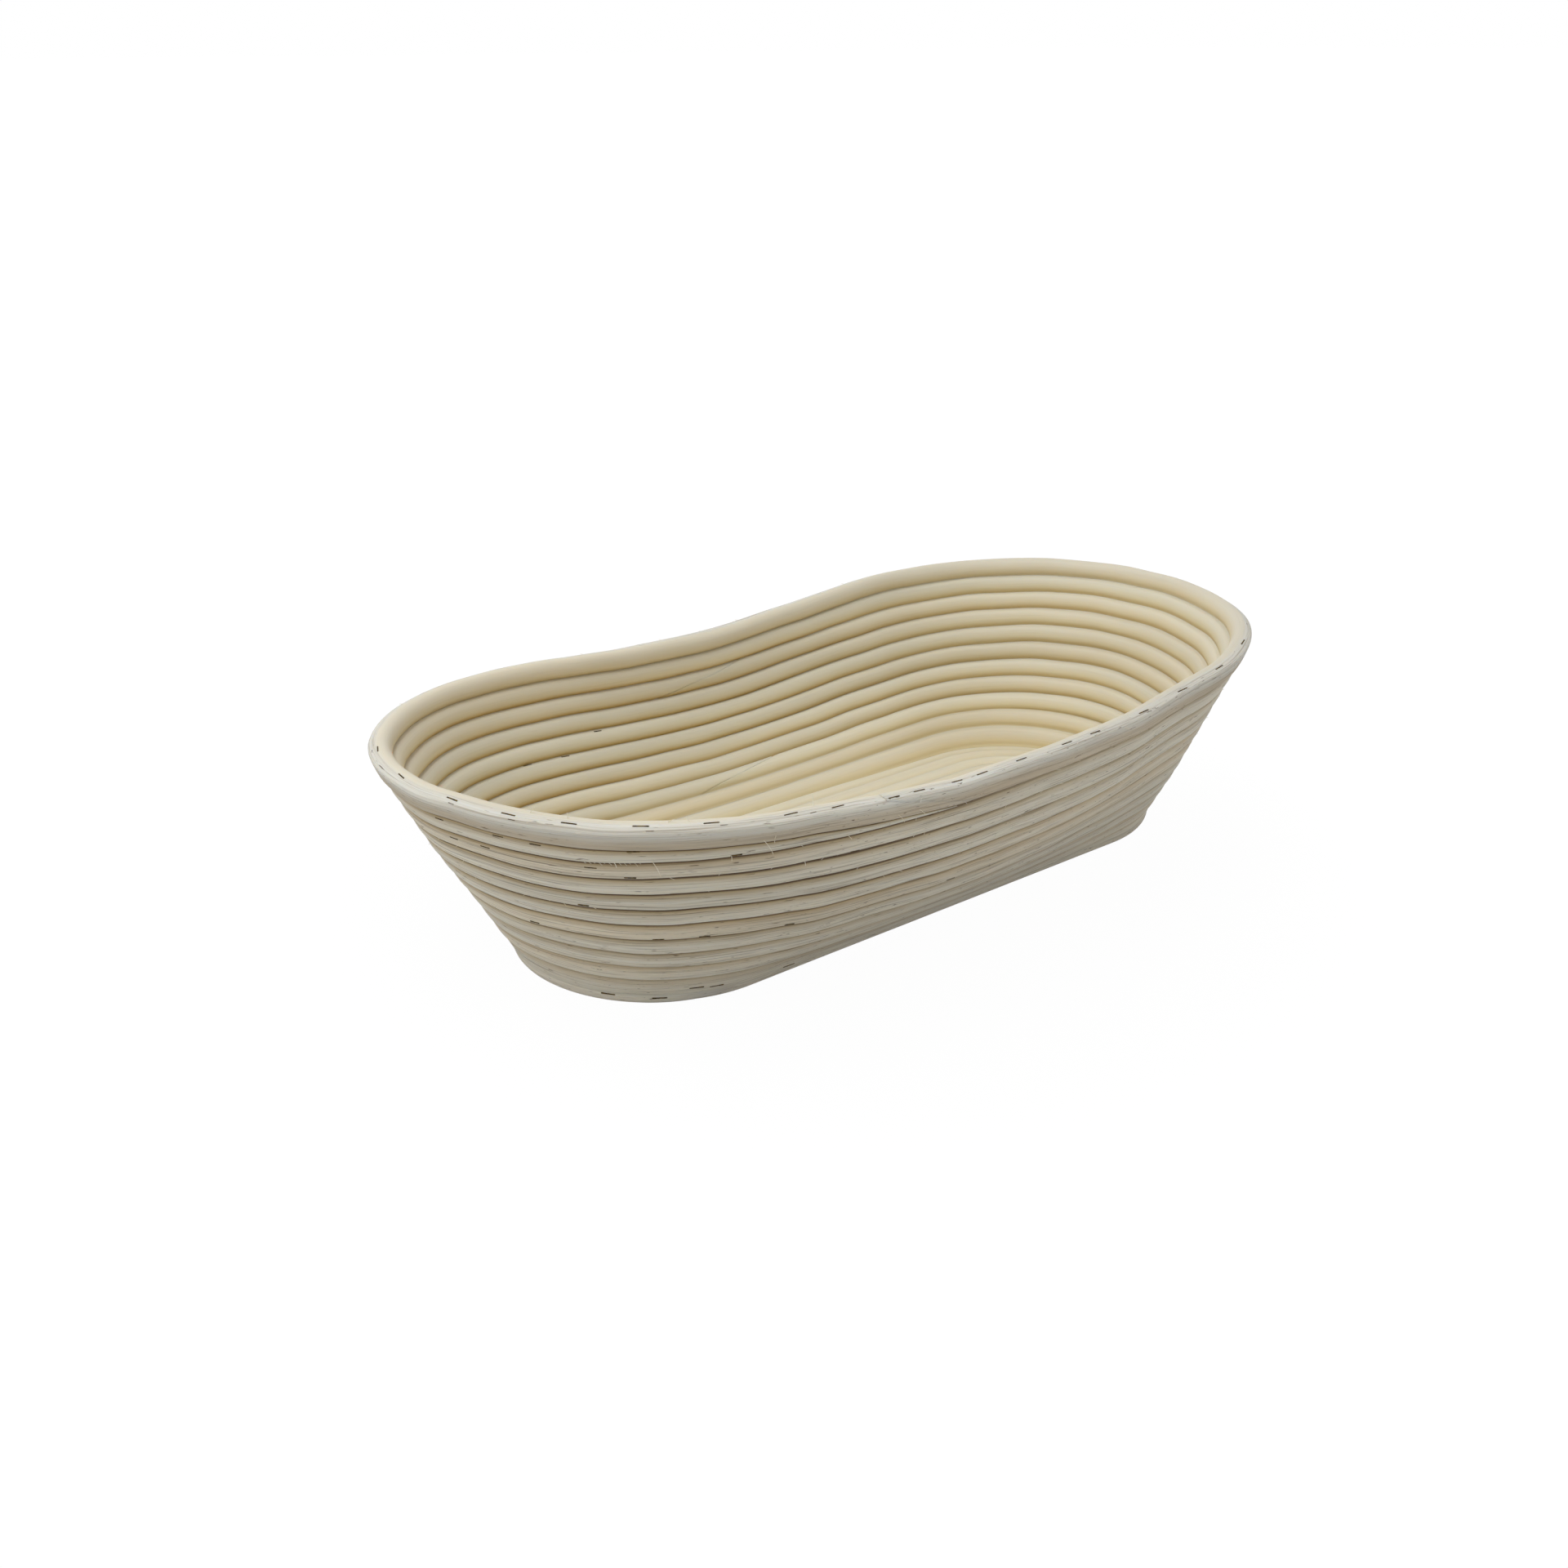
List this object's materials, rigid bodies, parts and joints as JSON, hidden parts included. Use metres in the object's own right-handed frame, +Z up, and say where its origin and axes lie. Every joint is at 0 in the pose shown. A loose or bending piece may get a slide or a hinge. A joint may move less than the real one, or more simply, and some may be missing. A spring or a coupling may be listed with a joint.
{
  "type": "proofing basket",
  "caption": "Oval proofing basket wound from round rattan cane, with a coiled floor, a flared wall and a thicker rim cane; it shapes dough while it rises.",
  "frame": {"origin": "middle of the basket's outline on the plane that it stands on", "axes": "+X along the basket, -Y to its front side, +Z up"},
  "size_m": [0.3554, 0.1918, 0.0828],
  "materials": {
    "cane": "satin",
    "rim": "matte"
  },
  "bodies": {
    "root": {"floor_cane_1": "cane", "floor_cane_2": "cane", "wall_cane_1": "cane", "wall_cane_2": "cane", "wall_cane_3": "cane", "wall_cane_4": "cane", "rim_cane": "rim"}
  },
  "joints": []
}
